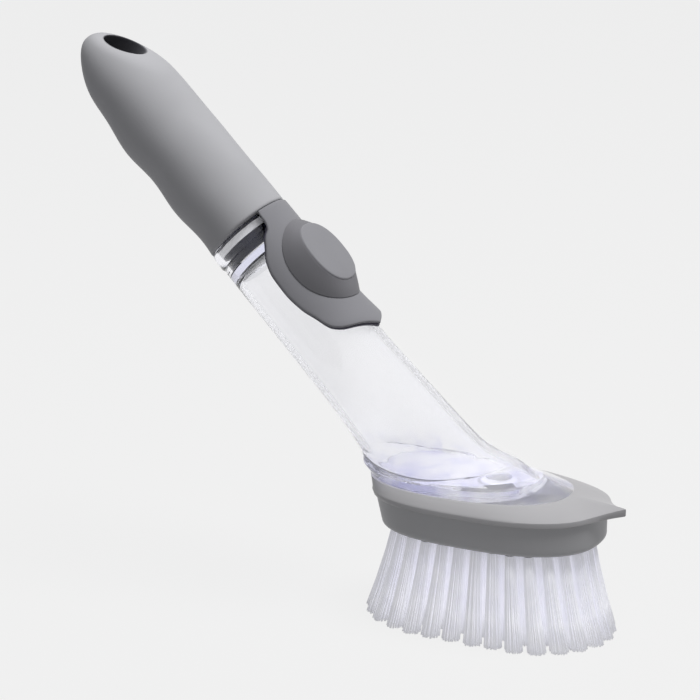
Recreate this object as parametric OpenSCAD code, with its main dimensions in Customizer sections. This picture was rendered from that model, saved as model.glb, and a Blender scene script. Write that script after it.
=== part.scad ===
// Soap-dispensing dish wand, standing on its bristles with the handle rising to the rear.
// Origin: on the surface it stands on, below the middle of the brush block.
// +X runs towards the pointed tip of the head, +Z is up, and Y = 0 is the plane of symmetry.

/* [Wand] */
// Angle between the handle's axis and the surface the brush stands on
lean = 45; // [40:1:52]
// Distance from the middle of the brush block back to where the handle's axis meets the seat
axis_back = 20.3; // [17:0.1:23]
// Gap between pieces that are fixed to each other
fit_gap = 0.1; // [0.05:0.01:0.2]
// Gap between pieces that move past each other
run_gap = 0.4; // [0.3:0.05:0.6]

/* [Grip] */
// Distance along the axis from the seat to the front edge of the grip
grip_start = 112.8; // [110:0.1:118]
// Length of the grip along the axis
grip_length = 91.8; // [85:0.1:105]
// Half width of the grip across the hand
grip_half_w = 16.3; // [15:0.1:19]
// Height of the grip above the axis, on the lid's side
grip_top = 17.9; // [16:0.1:20]
// Depth of the grip below the axis, on the fingers' side
grip_bottom = 15.2; // [14:0.1:18]
// Depth of the deeper finger wave
finger_wave = 1.3; // [0.5:0.1:2]
// Angle of the sloped face round the hang hole
end_slope = 25.5; // [22:0.5:30]
// Radius of the hang hole
hang_r = 7.2; // [5:0.1:8]
// Distance from the end of the grip to the middle of the hang hole
hang_inset = 12.1; // [11.5:0.1:14]
// Height of the sloped face above the axis at the hang hole
hang_face = 10.8; // [9.5:0.1:12]
// Length of the grip's rounded end
end_round = 44.6; // [40:0.1:50]
// Distance between the crests of the finger waves
wave_pitch = 28; // [24:0.5:32]
// Distance from the front edge of the grip to a crest
crest_offset = 21.2; // [18:0.1:24]
// Radius of the grip's front edge
edge_round = 1; // [0.6:0.1:1.4]

/* [Core] */
// Radius of the rigid core inside the grip
core_r = 11.6; // [10:0.1:12]
// Wall of the rigid core
core_wall = 2; // [1.5:0.1:3]
// Length of the core inside the grip
core_length = 62; // [50:1:66]
// Length of the core's nose inside the clear collar
nose_length = 9.2; // [8:0.1:9.3]
// Thickness of the gasket on the nose
neck_seal_t = 1.4; // [1:0.1:1.8]
// Length of the gasket along the nose
neck_seal_l = 2.4; // [1.8:0.1:4.4]
// Distance from the grip's front edge to the gasket
neck_seal_gap = 1.2; // [1:0.1:2.2]
// Distance between the core's round webs
web_pitch = 10; // [8:0.5:16]

/* [Reservoir] */
// Outer radius of the reservoir at the seat
tube_r_low = 16; // [15:0.1:16.6]
// Outer radius of the reservoir at the collar
tube_r_high = 14.8; // [14.2:0.1:16]
// Wall of the reservoir
tube_wall = 2.1; // [1.5:0.1:2.2]
// Length of the clear collar that holds the core's nose
collar_length = 9.8; // [9.4:0.1:10.2]
// Half width of the filler port
port_half_w = 10.6; // [8:0.1:11]
// Distance from the middle of the button back to the middle of the filler port
port_back = 0.6; // [0:0.1:2]
// Half length of the filler port
port_half_l = 14.6; // [14:0.1:14.8]
// Radius of the rounded end inside the reservoir
cavity_round = 3; // [1.5:0.1:4]
// Place along the axis where the foot starts to flare out of the tube
flare_end = 50; // [44:1:56]
// Place along the axis where the flare meets the foot's skin
flare_at = 36; // [34:1:40]
// Amount that the tube has flared there
flare_extra = 0.5; // [0.2:0.1:1]

/* [Foot] */
// Height of the seat, where the clear foot rests on the head
seat_z = 50; // [48:0.1:54]
// Rear end of the foot's lower outline
foot_heel = 46.5; // [44:0.1:48]
// Front end of the foot's lower outline
foot_toe = 26.3; // [24:0.1:29]
// Half width of the foot
foot_half_w = 22.3; // [20:0.1:23]
// Height of the foot's clear side band
band_h = 4.8; // [4:0.1:7]
// Amount that the upper edge of the band stands out at the heel
heel_flange = 3.5; // [1:0.1:5]
// Distance that the upper edge of the band is set back at the toe
toe_setback = 12.3; // [10:0.1:15]
// Height of the toe's shoulder above the seat
shoulder_h = 9.6; // [8:0.1:11]
// Fullness of the foot's outline; 2 is an ellipse
foot_power = 2.3; // [2:0.05:2.8]
// Fullness of the band's upper outline at the toe; a lower one is more pointed
toe_power = 1.5; // [1.4:0.05:2.3]
// Wall of the foot
foot_wall = 2.4; // [1.8:0.1:3]
// Thickness of the base plate that closes the foot
base_t = 2.3; // [1.8:0.1:3]
// Radius of the spigot below the base plate
spigot_r = 9; // [8:0.1:10]
// Length of the spigot
spigot_l = 5; // [4:0.1:5]
// Radius of the slit valve
valve_r = 6.4; // [5:0.1:6.6]
// Thickness of the slit valve's rim
valve_t = 1.4; // [1:0.1:1.8]
// Wall of the spigot round the soap's way to the valve
spigot_wall = 4.4; // [3.8:0.1:5]
// Thickness of the ring that holds the slit valve
ring_t = 1.8; // [1.2:0.1:2]
// Width of the valve's slits
slit_w = 0.2; // [0.1:0.05:0.4]
// Radius of the soap outlet
outlet_r = 1.8; // [1:0.1:2]
// Thickness of the ring seal on the spigot
spigot_seal_t = 1.4; // [1:0.1:2]

/* [Lid] */
// Distance along the axis from the seat to the tip of the lift tab
tab_tip = 55.5; // [54:0.1:58]
// Distance along the axis from the seat to the hinge line
hinge_at = 108.4; // [107.5:0.1:109.5]
// Distance along the axis from the seat to the middle of the button
button_at = 86.8; // [84:0.1:88]
// Half angle that the lid wraps round the reservoir beside the button
lid_wrap = 69; // [60:0.5:74]
// Half angle of the strap and of the lid's waist
strap_wrap = 35; // [28:0.5:42]
// Thickness of the rigid frame under the lid's skin
frame_t = 1.1; // [0.8:0.1:1.4]
// Thickness of the lid's soft skin
skin_t = 1.2; // [0.8:0.1:1.6]
// Height that the lift tab stands off the reservoir beyond the lid
tab_lift = 1.2; // [0.5:0.1:2]
// Length of the lift tab
tab_length = 16; // [12:0.5:18]
// Length over which the tab lifts off the reservoir
tab_rise = 6; // [4:0.5:8]
// Wall of the plug that enters the filler port
plug_wall = 2.2; // [1.6:0.1:2.6]
// Amount that the plug's seal stands out of its groove
seal_proud = 0.15; // [0.05:0.05:0.25]

/* [Button] */
// Half length of the button's flat top, along the wand
pad_half_l = 12.5; // [11:0.1:13]
// Half width of the button's flat top
pad_half_w = 10.9; // [9:0.1:11.2]
// Height of the button's top above the wand's axis
pad_top = 21.3; // [20.4:0.1:22]
// Thickness of the button's pad
pad_t = 1.7; // [1.4:0.1:2]
// Fullness of the button's outline; 2 is an ellipse
pad_power = 2.3; // [2:0.05:2.6]
// Clearance round the pad in the lid's hole
hole_gap = 0.7; // [0.5:0.05:0.9]
// Clearance between the pad and the button's wall
skirt_gap = 0.15; // [0.1:0.05:0.25]
// How far the button's wall spreads towards the tab for each unit of height
spread_front = 1.75; // [1.4:0.05:2]
// How far the button's wall spreads towards the grip for each unit of height
spread_rear = 0.8; // [0.6:0.05:1.2]
// How far the button's wall spreads for each unit of height, across the wand
spread_w = 0.3; // [0.2:0.02:0.34]

/* [Brush head] */
// Length of the brush block in front of its middle
block_front = 38.3; // [36:0.1:42]
// Length of the brush block behind its middle
block_rear = 40.9; // [39:0.1:44]
// Width of the brush block
block_w = 52; // [50:0.1:56]
// Fullness of the head's front; 2 is an ellipse
front_power = 2.4; // [2.2:0.05:3]
// Fullness of the head's heel; 2 is an ellipse
rear_power = 2.84; // [2.5:0.05:3.2]
// Length of the bristles below the block
bristle_l = 33.5; // [28:0.1:38]
// Height of the block's wall below the deck's lip
wall_h = 11; // [9:0.1:12]
// Amount that the wall spreads towards its top at the heel
heel_draft = 2.6; // [0:0.1:4]
// Amount that the deck's lip stands out from the wall
lip_out = 0.9; // [0.4:0.1:1.4]
// Height of the deck's lip
lip_h = 2.2; // [1.8:0.1:3]
// Distance from the block's front to the end of the pointed tip
tip_out = 7.6; // [5:0.1:9]
// Half width of the pointed tip where it leaves the head's outline
tip_half_w = 12; // [9:0.1:15]
// Height of the pointed tip above the lip's top
tip_rise = 1.6; // [0:0.1:2.5]
// Wall of the deck and of the block
head_wall = 2.4; // [2:0.1:3]
// Thickness of the backing that holds the tufts
backing_t = 3; // [2.4:0.1:3.6]
// Inset of the rim that lines the block up with the deck
rim_step = 1.3; // [1:0.1:1.6]
// Height of the rim
rim_h = 1.2; // [0.8:0.1:1.4]
// Wall of the socket that holds the spigot, and of the block's funnel
socket_wall = 2; // [1.4:0.1:2.6]
// Depth of the socket below the spigot's end
socket_drop = 0.5; // [0.3:0.1:0.8]
// Inset of the hollow below the deck from the foot's outline
hollow_inset = 4; // [3:0.1:6]
// Radius of the block's lower edge
block_round = 2; // [1:0.1:2.6]

/* [Bristles] */
// Distance from the block's front to the bristles' backing
front_inset = 3.6; // [3:0.1:5]
// Distance from the block's heel to the bristles' backing
heel_inset = 2.5; // [2.2:0.1:4]
// Distance from the block's side to the bristles' backing
side_inset = 2; // [1.6:0.1:3]
// Thickness of the slice of backing that the tufts stand in
slice_t = 1.2; // [1:0.1:1.6]
// Half width of the island in the middle of the backing
slice_hole = 4.2; // [3:0.1:5]
// Distance between the rings of tufts
ring_step = 7.2; // [6.6:0.1:7.4]
// Distance from the backing's edge to the outer ring of tufts
ring_inset = 2.1; // [1.9:0.1:2.6]
// Tufts in the outer ring
outer_tufts = 30; // [26:1:32]
// Tufts in the middle ring
middle_tufts = 22; // [18:1:23]
// Tufts in the inner ring
inner_tufts = 14; // [10:1:15]
// Distance between strands in a tuft at its root
root_r = 1.3; // [1.1:0.05:1.4]
// Distance between strands in a tuft at its tip
tip_r = 2; // [1.7:0.05:2.2]
// Half width of a strand at its root
strand_r = 0.38; // [0.3:0.02:0.45]
// Half width of a strand at its tip
strand_tip_r = 0.6; // [0.5:0.02:0.7]
// How far the tuft tips spread along the head, as a share of their place
splay_l = 1.24; // [1.15:0.01:1.3]
// How far the tuft tips spread across the head, as a share of their place
splay_w = 1.13; // [1.1:0.01:1.2]

/* [Hidden] */
$fn = 96;
// Smallest overlap that joins two solids of one piece, or clears a cut
join = 0.5;
grip_grey = [0.62, 0.62, 0.64];
lid_grey = [0.55, 0.55, 0.57];
frame_grey = [0.36, 0.36, 0.39];
clear_tint = [0.86, 0.87, 0.94, 0.6];
rubber_white = [0.93, 0.93, 0.93];
deck_grey = [0.68, 0.68, 0.68];
block_grey = [0.5, 0.5, 0.52];
bristle_white = [0.9, 0.9, 0.94];

// Places along the wand's axis
grip_end = grip_start + grip_length;
hang_at = grip_end - hang_inset;
collar_floor = grip_start - collar_length;
nose_front = grip_start - nose_length;
core_end = grip_start + core_length;
neck_seal_at = grip_start - neck_seal_gap - neck_seal_l / 2;
cavity_end = collar_floor - tube_wall;
port_at = button_at - port_back;

// Radii about the wand's axis
function tube_r(s) = tube_r_low + (tube_r_high - tube_r_low) * s / grip_start;
collar_r = tube_r_high - tube_wall;
nose_r = collar_r - fit_gap;
lid_r = tube_r(tab_tip) + run_gap;

// Heights in the head
seat_top = seat_z - fit_gap;
block_bottom = bristle_l;
lip_bottom = block_bottom + wall_h;
lip_top = lip_bottom + lip_h;

// Things of the wand are drawn with Z along its axis and X towards the lid
module on_wand()
    translate([-axis_back, 0, seat_z])
        rotate([0, lean - 90, 0])
            children();

// A flat outline of the wand's lid side, its length along the wand, raised from one height to another
module up_from_axis(low, high, along)
    translate([low, 0, along])
        rotate([0, 90, 0])
            linear_extrude(high - low)
                children();

// Point of a superellipse; a power of 2 makes it an ellipse
function se_point(a, half_x, half_y, power) =
    [half_x * sign(cos(a)) * pow(abs(cos(a)), 2 / power),
     half_y * sign(sin(a)) * pow(abs(sin(a)), 2 / power)];

module superellipse(half_x, half_y, power, sides = 64)
    polygon([for (i = [0:sides - 1]) se_point(360 * i / sides, half_x, half_y, power)]);

// Closed solid through rings of points, each ring anticlockwise seen from the last one
module loft(rings) {
    sides = len(rings[0]);
    last = (len(rings) - 1) * sides;
    skin = [for (k = [0:len(rings) - 2], i = [0:sides - 1])
        let (a = k * sides + i, b = k * sides + (i + 1) % sides)
        each [[a, a + sides, b + sides], [a, b + sides, b]]];
    bottom = [for (i = [1:sides - 2]) [0, i, i + 1]];
    top = [for (i = [1:sides - 2]) [last, last + i + 1, last + i]];
    polyhedron([for (r = rings) each r], concat(skin, bottom, top));
}

// Ring in a tilted plane across the middle plane, from its front point to its rear point
function tilted_ring(front, rear, half_w, power, sides) =
    [for (i = [0:sides - 1])
        let (p = se_point(360 * i / sides, 1, half_w, power),
             mid = (front + rear) / 2,
             reach = (front - rear) / 2)
        [mid[0] + reach[0] * p[0], p[1], mid[1] + reach[1] * p[0]]];

// Point in the middle plane at a place along the wand's axis and a height towards the lid
function wand_point(along, up) =
    [-axis_back - along * cos(lean) + up * sin(lean), seat_z + along * sin(lean) + up * cos(lean)];

// The grip is a row of ellipses with finger waves below and a rounded end
grip_sides = 32;
function end_share(s, power) =
    1 - pow(max(0, s - grip_end + end_round) / end_round, power);
function edge_inset(s) =
    let (e = max(0, 1 - (s - grip_start) / edge_round)) edge_round * (1 - sqrt(1 - e * e));
function wave_at(s) =
    finger_wave * (0.5 - 0.5 * cos(360 * (s - grip_start - crest_offset) / wave_pitch));
function grip_ring(s) =
    let (up = grip_top * sqrt(end_share(s, 3)) - edge_inset(s),
         down = (grip_bottom - wave_at(s)) * pow(end_share(s, 2.2), 0.6) - edge_inset(s),
         half = grip_half_w * sqrt(end_share(s, 3)) - edge_inset(s))
    [for (i = [0:grip_sides - 1])
        let (a = 360 * i / grip_sides)
        [(up - down) / 2 + (up + down) / 2 * cos(a), half * sin(a), s]];
grip_straight = grip_length - end_round;
grip_stations = concat(
    [for (e = [0, 0.3, 1]) grip_start + edge_round * e],
    [for (i = [1:11]) grip_start + edge_round + (grip_straight - edge_round) * i / 11],
    [for (a = [10:10:80]) grip_end - end_round + end_round * sin(a)],
    [grip_end - end_round * 0.003]);

module grip_sleeve()
    color(grip_grey)
        on_wand()
            difference() {
                loft([for (s = grip_stations) grip_ring(s)]);
                // Sloped face round the hang hole
                translate([hang_face, 0, hang_at])
                    rotate([0, -end_slope, 0])
                        translate([0, -grip_half_w * 2, -grip_length])
                            cube([grip_top * 2, grip_half_w * 4, grip_length * 2]);
                // Hang hole
                translate([0, 0, hang_at])
                    rotate([0, 90, 0])
                        cylinder(h = grip_top * 4, r = hang_r, center = true);
                // Bore for the core
                translate([0, 0, grip_start - join])
                    cylinder(h = core_length + join + fit_gap, r = core_r + fit_gap);
            }

// Rigid core: a nose for the clear collar, then ribs and round webs inside the grip
module handle_core()
    color(frame_grey)
        on_wand() {
            difference() {
                translate([0, 0, nose_front]) {
                    cylinder(h = nose_length - fit_gap, r = nose_r);
                    cylinder(h = nose_length + core_wall, r = core_r);
                }
                translate([0, 0, nose_front - join])
                    cylinder(h = core_wall + join, r = core_r - core_wall);
                translate([0, 0, neck_seal_at])
                    difference() {
                        cylinder(h = neck_seal_l + fit_gap * 2, r = nose_r + join, center = true);
                        cylinder(h = neck_seal_l * 2, r = nose_r - neck_seal_t, center = true);
                    }
            }
            for (turn = [0, 90])
                rotate([0, 0, turn])
                    translate([-core_r + core_wall, -core_wall / 2, grip_start])
                        cube([(core_r - core_wall) * 2, core_wall, core_length]);
            for (s = [core_end - core_wall:-web_pitch:grip_start + web_pitch])
                translate([0, 0, s])
                    cylinder(h = core_wall, r = core_r);
        }

// Flat gasket in the nose's groove
module neck_seal()
    color(rubber_white)
        on_wand()
            translate([0, 0, neck_seal_at])
                rotate_extrude()
                    translate([nose_r - neck_seal_t + fit_gap / 2, -neck_seal_l / 2])
                        square([neck_seal_t, neck_seal_l]);

// The clear reservoir's skin: rings from the foot's lower outline up to the round tube
tube_sides = 48;
band_top = seat_z + band_h;
toe_slope = (shoulder_h - band_h) / toe_setback;
heel_line = band_top - 0.4;
function foot_ring(front, rear, half_w, toe, heel, drop, inset) =
    let (f = front - inset * [0.5, 0.87],
         r = rear + inset * [0.75, 0.66],
         mid = (f + r) / 2,
         reach = (f - r) / 2)
    [for (i = [0:tube_sides - 1])
        let (a = 360 * i / tube_sides, p = se_point(a, 1, 1, cos(a) > 0 ? toe : heel))
        [mid[0] + reach[0] * p[0], (half_w - inset) * p[1], mid[1] + reach[1] * p[0] - drop * p[1] * p[1]]];
function tube_ring(s, r) =
    let (f = wand_point(s, r), b = wand_point(s, -r)) tilted_ring(f, b, r, 2, tube_sides);
blend_front = wand_point(5, tube_r_low + 2.3);
blend_rear = wand_point(30, -tube_r(30) - 1.2);
band_front = [foot_toe - toe_setback, band_top + 0.4];
shoulder_front = [band_front[0] - toe_setback * 0.9, seat_z + shoulder_h];
heel_top = [-foot_heel - heel_flange, heel_line];
function between(a, b, share) = a + (b - a) * share;
// How far each ring of the skin draws in from the foot's sides, and drops there below its middle
draw_in = [0.9, 2.2, 4.4, 5.4];
side_drop = [2, 3.4, 4.4, 3, 2];
function skin_rings(inset) = [
    foot_ring(band_front, heel_top, foot_half_w - draw_in[0], toe_power, foot_power, side_drop[0], inset),
    foot_ring(between(band_front, shoulder_front, 0.45) + [0, 0.9], between(heel_top, blend_rear, 0.12),
              foot_half_w - draw_in[1], toe_power, foot_power, side_drop[1], inset),
    foot_ring(between(band_front, shoulder_front, 0.95) + [0, 0.1], between(heel_top, blend_rear, 0.3),
              foot_half_w - draw_in[2], 2, 2.2, side_drop[2], inset),
    foot_ring(between(shoulder_front, blend_front, 0.4) + [0, -0.9], between(heel_top, blend_rear, 0.5),
              foot_half_w - draw_in[3], 2, 2.1, side_drop[3], inset),
    foot_ring(blend_front, between(heel_top, blend_rear, 0.8), tube_r_low + 0.3, 2, 2, side_drop[4], inset)];

// Half width and half length of the base plate's pocket, clear of the sloped toe
pocket_toe = foot_toe - (base_t + foot_wall) / toe_slope;
pocket_heel = foot_heel - foot_wall;
pocket_half_w = foot_half_w - foot_wall;
module base_outline(gap)
    translate([(pocket_toe - pocket_heel) / 2, 0])
        superellipse((pocket_toe + pocket_heel) / 2 - gap, pocket_half_w - gap, foot_power, tube_sides);
function pocket_ring(z) =
    tilted_ring([pocket_toe, z], [-pocket_heel, z], pocket_half_w, foot_power, tube_sides);

// Stadium with its length along X: two half rounds and a straight part between them
module stadium(half_l, half_w) {
    square([(half_l - half_w) * 2, half_w * 2], center = true);
    for (side = [-1, 1])
        translate([side * (half_l - half_w), 0])
            circle(r = half_w);
}

module reservoir()
    color(clear_tint)
        difference() {
            loft(concat(
                [tilted_ring([foot_toe, seat_z], [-foot_heel, seat_z], foot_half_w, foot_power, tube_sides)],
                skin_rings(0),
                [tube_ring(flare_at, tube_r(flare_at) + flare_extra),
                 tube_ring(flare_end, tube_r(flare_end)),
                 tube_ring(grip_start - fit_gap, tube_r_high)]));
            loft(concat(
                [pocket_ring(seat_z - join), pocket_ring(seat_z + base_t + fit_gap)],
                skin_rings(foot_wall),
                [tube_ring(flare_at, tube_r(flare_at) + flare_extra - tube_wall),
                 tube_ring(flare_end, tube_r(flare_end) - tube_wall),
                 tube_ring(cavity_end - cavity_round, collar_r),
                 tube_ring(cavity_end - cavity_round * 0.3, collar_r - cavity_round * 0.3),
                 tube_ring(cavity_end, collar_r - cavity_round)]));
            // Collar that holds the core's nose
            on_wand()
                translate([0, 0, collar_floor])
                    cylinder(h = collar_length + join, r = collar_r);
            // Filler port below the lid
            on_wand()
                up_from_axis(tube_r_high / 3, tube_r_high * 2, port_at)
                    stadium(port_half_l, port_half_w);
        }

// Plate that closes the foot, with the spigot that carries the brush head
soap_hole_r = spigot_r - spigot_wall;
valve_seat = seat_z - spigot_l + ring_t + valve_t + fit_gap * 3;
spigot_seal_at = seat_z - spigot_l * 0.6;
module reservoir_base()
    color(clear_tint)
        difference() {
            union() {
                translate([0, 0, seat_z])
                    linear_extrude(base_t)
                        base_outline(fit_gap);
                translate([0, 0, seat_z - spigot_l])
                    cylinder(h = spigot_l + base_t / 2, r = spigot_r);
            }
            translate([0, 0, seat_z - spigot_l - join])
                cylinder(h = spigot_l + base_t + join * 2, r = soap_hole_r);
            translate([0, 0, seat_z - spigot_l - join])
                cylinder(h = valve_seat - seat_z + spigot_l + join, r = valve_r + fit_gap);
            translate([0, 0, spigot_seal_at])
                difference() {
                    cylinder(h = spigot_seal_t + fit_gap * 2, r = spigot_r + join, center = true);
                    cylinder(h = spigot_seal_t * 2, r = spigot_r - spigot_seal_t, center = true);
                }
        }

// Slit valve: a thick rim, a thin middle and a cross of slits
module outlet_valve()
    color(rubber_white)
        translate([0, 0, valve_seat - valve_t - fit_gap])
            difference() {
                cylinder(h = valve_t, r = valve_r);
                translate([0, 0, -join])
                    cylinder(h = valve_t / 2 + join, r = soap_hole_r);
                for (turn = [0, 90])
                    rotate([0, 0, turn])
                        cube([soap_hole_r * 1.5, slit_w, valve_t * 3], center = true);
            }

// Ring that holds the slit valve in the spigot
module valve_ring()
    color(rubber_white)
        translate([0, 0, seat_z - spigot_l])
            difference() {
                cylinder(h = ring_t, r = valve_r);
                translate([0, 0, -join])
                    cylinder(h = ring_t + join * 2, r = soap_hole_r);
            }

module spigot_seal()
    color(rubber_white)
        translate([0, 0, spigot_seal_at])
            rotate_extrude()
                translate([spigot_r - spigot_seal_t / 2 + fit_gap / 2, 0])
                    circle(r = spigot_seal_t / 2, $fn = 24);

// The lid's outline as a half angle about the axis: strap, round the button, tab corner and tip
lid_back = hinge_at - 2;
ease_length = 20;
tab_corner = tab_tip + 6.1;
corner_wrap = lid_wrap - 22;
function lid_angle(s) =
    s > hinge_at - ease_length
        ? strap_wrap + (lid_wrap - strap_wrap) * sin(90 * min(1, (hinge_at - s) / ease_length))
    : s > tab_corner
        ? lid_wrap - (lid_wrap - corner_wrap)
            * pow((hinge_at - ease_length - s) / (hinge_at - ease_length - tab_corner), 2.2)
    : asin(max(0.02, (s - tab_tip) / (tab_corner - tab_tip)) * sin(corner_wrap));
tab_back = tab_tip + tab_length;
function tab_share(s) = min(1, max(0, (tab_back - s) / tab_rise));

// Curved shell about the wand's axis, between two heights above the lid's inner radius
arc_steps = 12;
function shell_ring(s, low, high, angle) =
    let (r = lid_r + tab_lift * tab_share(s))
    concat(
        [for (i = [0:arc_steps])
            let (a = angle * (2 * i / arc_steps - 1))
            [(r + high) * cos(a), (r + high) * sin(a), s]],
        [for (i = [0:arc_steps])
            let (a = angle * (1 - 2 * i / arc_steps))
            [(r + low) * cos(a), (r + low) * sin(a), s]]);
module shell(rings) {
    sides = len(rings[0]);
    last = (len(rings) - 1) * sides;
    skin = [for (k = [0:len(rings) - 2], i = [0:sides - 1])
        let (a = k * sides + i, b = k * sides + (i + 1) % sides)
        each [[a, a + sides, b + sides], [a, b + sides, b]]];
    ends = [for (i = [0:arc_steps - 1])
        let (j = sides - 1 - i)
        each [[i, i + 1, j - 1], [i, j - 1, j],
              [last + i, last + j - 1, last + i + 1], [last + i, last + j, last + j - 1]]];
    polyhedron([for (r = rings) each r], concat(skin, ends));
}
lid_stations = concat(
    [for (i = [0:3]) tab_tip + (tab_corner - tab_tip) * i / 4],
    [for (i = [0:19]) tab_corner + (lid_back - tab_corner) * i / 19]);
module lid_shell(low, high)
    difference() {
        shell([for (s = lid_stations) shell_ring(s, low, high, lid_angle(s))]);
        // Hole that the button's pad sinks into
        up_from_axis(0, pad_top * 2, button_at)
            superellipse(pad_half_l + hole_gap, pad_half_w + hole_gap, pad_power, 48);
    }

module hinge_strap()
    color(lid_grey)
        on_wand()
            shell([for (s = [lid_back + fit_gap, grip_start - fit_gap])
                shell_ring(s, 0, frame_t + skin_t, strap_wrap)]);

module lid_cover()
    color(lid_grey)
        on_wand()
            lid_shell(frame_t, frame_t + skin_t);

module lid_frame()
    color(frame_grey)
        on_wand()
            lid_shell(0, frame_t - fit_gap / 2);

// The plug that enters the filler port, hollow below the button
plug_low_r = tube_r_high - tube_wall + 0.6;
seal_low_r = plug_low_r + 0.3;
seal_high_r = seal_low_r + 1;
module plug_outline(grow)
    stadium(port_half_l - run_gap + grow, port_half_w - run_gap + grow);
module curved_layer(low_r, high_r)
    intersection() {
        difference() {
            cylinder(h = grip_start, r = high_r);
            translate([0, 0, -join])
                cylinder(h = grip_start + join * 2, r = low_r);
        }
        children();
    }
module lid_plug()
    color(frame_grey)
        on_wand()
            difference() {
                curved_layer(plug_low_r, lid_r - fit_gap * 2)
                    up_from_axis(0, lid_r * 2, port_at)
                        plug_outline(0);
                up_from_axis(-join, lid_r * 2, port_at)
                    plug_outline(-plug_wall);
                curved_layer(seal_low_r - fit_gap, seal_high_r + fit_gap)
                    up_from_axis(0, lid_r * 2, port_at)
                        difference() {
                            plug_outline(join);
                            plug_outline(-plug_wall / 2);
                        }
            }

module lid_seal()
    color(rubber_white)
        on_wand()
            curved_layer(seal_low_r, seal_high_r)
                up_from_axis(0, lid_r * 2, port_at)
                    difference() {
                        plug_outline(seal_proud);
                        plug_outline(fit_gap - plug_wall / 2);
                    }

// The button: rings of a superellipse stacked along the lid's direction
button_sides = 48;
function pad_ring(up, front, rear, half_w) =
    [for (i = [0:button_sides - 1])
        let (p = se_point(360 * i / button_sides, 1, half_w, pad_power),
             reach = p[0] > 0 ? rear : front)
        [up, -p[1], button_at + p[0] * reach]];
function pad_shape(up, inset) = pad_ring(up, pad_half_l - inset, pad_half_l - inset, pad_half_w - inset);
module pump_button()
    color(lid_grey)
        on_wand()
            loft([pad_shape(pad_top - pad_t, 0.3), pad_shape(pad_top - pad_t * 0.8, 0),
                  pad_shape(pad_top - edge_round * 0.7, 0), pad_shape(pad_top - edge_round * 0.2, 0.3),
                  pad_shape(pad_top, edge_round)]);

skirt_top = pad_top - edge_round * 0.6;
skirt_base_r = lid_r + frame_t + skin_t + fit_gap / 2;
skirt_low = skirt_base_r / 2;
function skirt_ring(drop) =
    pad_ring(pad_top - drop, pad_half_l + spread_front * drop, pad_half_l + spread_rear * drop,
             pad_half_w + spread_w * drop);
module button_skirt()
    color(frame_grey)
        on_wand()
            difference() {
                loft([skirt_ring(pad_top - skirt_low), skirt_ring(pad_top - skirt_top)]);
                loft([pad_shape(skirt_low - join, -skirt_gap), pad_shape(pad_top + join, -skirt_gap)]);
                rotate_extrude()
                    polygon([[0, 0], [skirt_base_r + tab_lift, 0],
                             [skirt_base_r + tab_lift, tab_back - tab_rise], [skirt_base_r, tab_back],
                             [skirt_base_r, grip_start], [0, grip_start]]);
            }

// Outline of the head where the deck's lip starts
head_half_w = block_w / 2;
head_sides = 64;
function head_point(i, front, rear, half_w) =
    let (a = 360 * i / head_sides,
         p = se_point(a, 1, half_w, cos(a) > 0 ? front_power : rear_power))
    [p[0] * (p[0] > 0 ? front : rear), p[1]];
module head_outline(inset, draft)
    polygon([for (i = [0:head_sides - 1])
        head_point(i, block_front - inset, block_rear + heel_draft * draft - inset, head_half_w - inset)]);

// The deck's edge: the head's outline with the pointed tip drawn out and raised at the front
function tip_share(p) = p[0] > 0 ? pow(max(0, 1 - abs(p[1]) / tip_half_w), 2.2) : 0;
function deck_ring(z, lift, heel_out) =
    [for (i = [0:head_sides - 1])
        let (p = head_point(i, block_front + lip_out, block_rear + heel_draft + heel_out,
                            head_half_w + lip_out),
             share = tip_share(p))
        [p[0] + tip_out * share, p[1], z + lift * share]];
socket_low = seat_z - spigot_l - socket_drop;
module head_deck()
    color(deck_grey)
        difference() {
            union() {
                difference() {
                    loft([deck_ring(lip_bottom, tip_rise * 0.55, 0.6), deck_ring(lip_top, tip_rise, 1.2),
                          deck_ring_top()]);
                    // Pocket for the block's rim
                    translate([0, 0, lip_bottom - join])
                        linear_extrude(rim_h + fit_gap + join)
                            head_outline(rim_step - fit_gap, 1);
                    // Hollow below the seat
                    translate([(foot_toe - foot_heel) / 2, 0, lip_bottom - join])
                        linear_extrude(seat_top - head_wall - lip_bottom + join)
                            superellipse((foot_toe + foot_heel) / 2 - hollow_inset,
                                         foot_half_w - hollow_inset, foot_power, tube_sides);
                }
                translate([0, 0, socket_low])
                    cylinder(h = seat_top - head_wall - socket_low + join,
                             r = spigot_r + fit_gap + socket_wall);
            }
            translate([0, 0, socket_low - join])
                cylinder(h = seat_top - socket_low + join * 2, r = spigot_r + fit_gap);
        }
function deck_ring_top() =
    tilted_ring([foot_toe + 0.8, seat_top], [-foot_heel - 0.3, seat_top], foot_half_w + 0.8, foot_power,
                head_sides);

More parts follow.
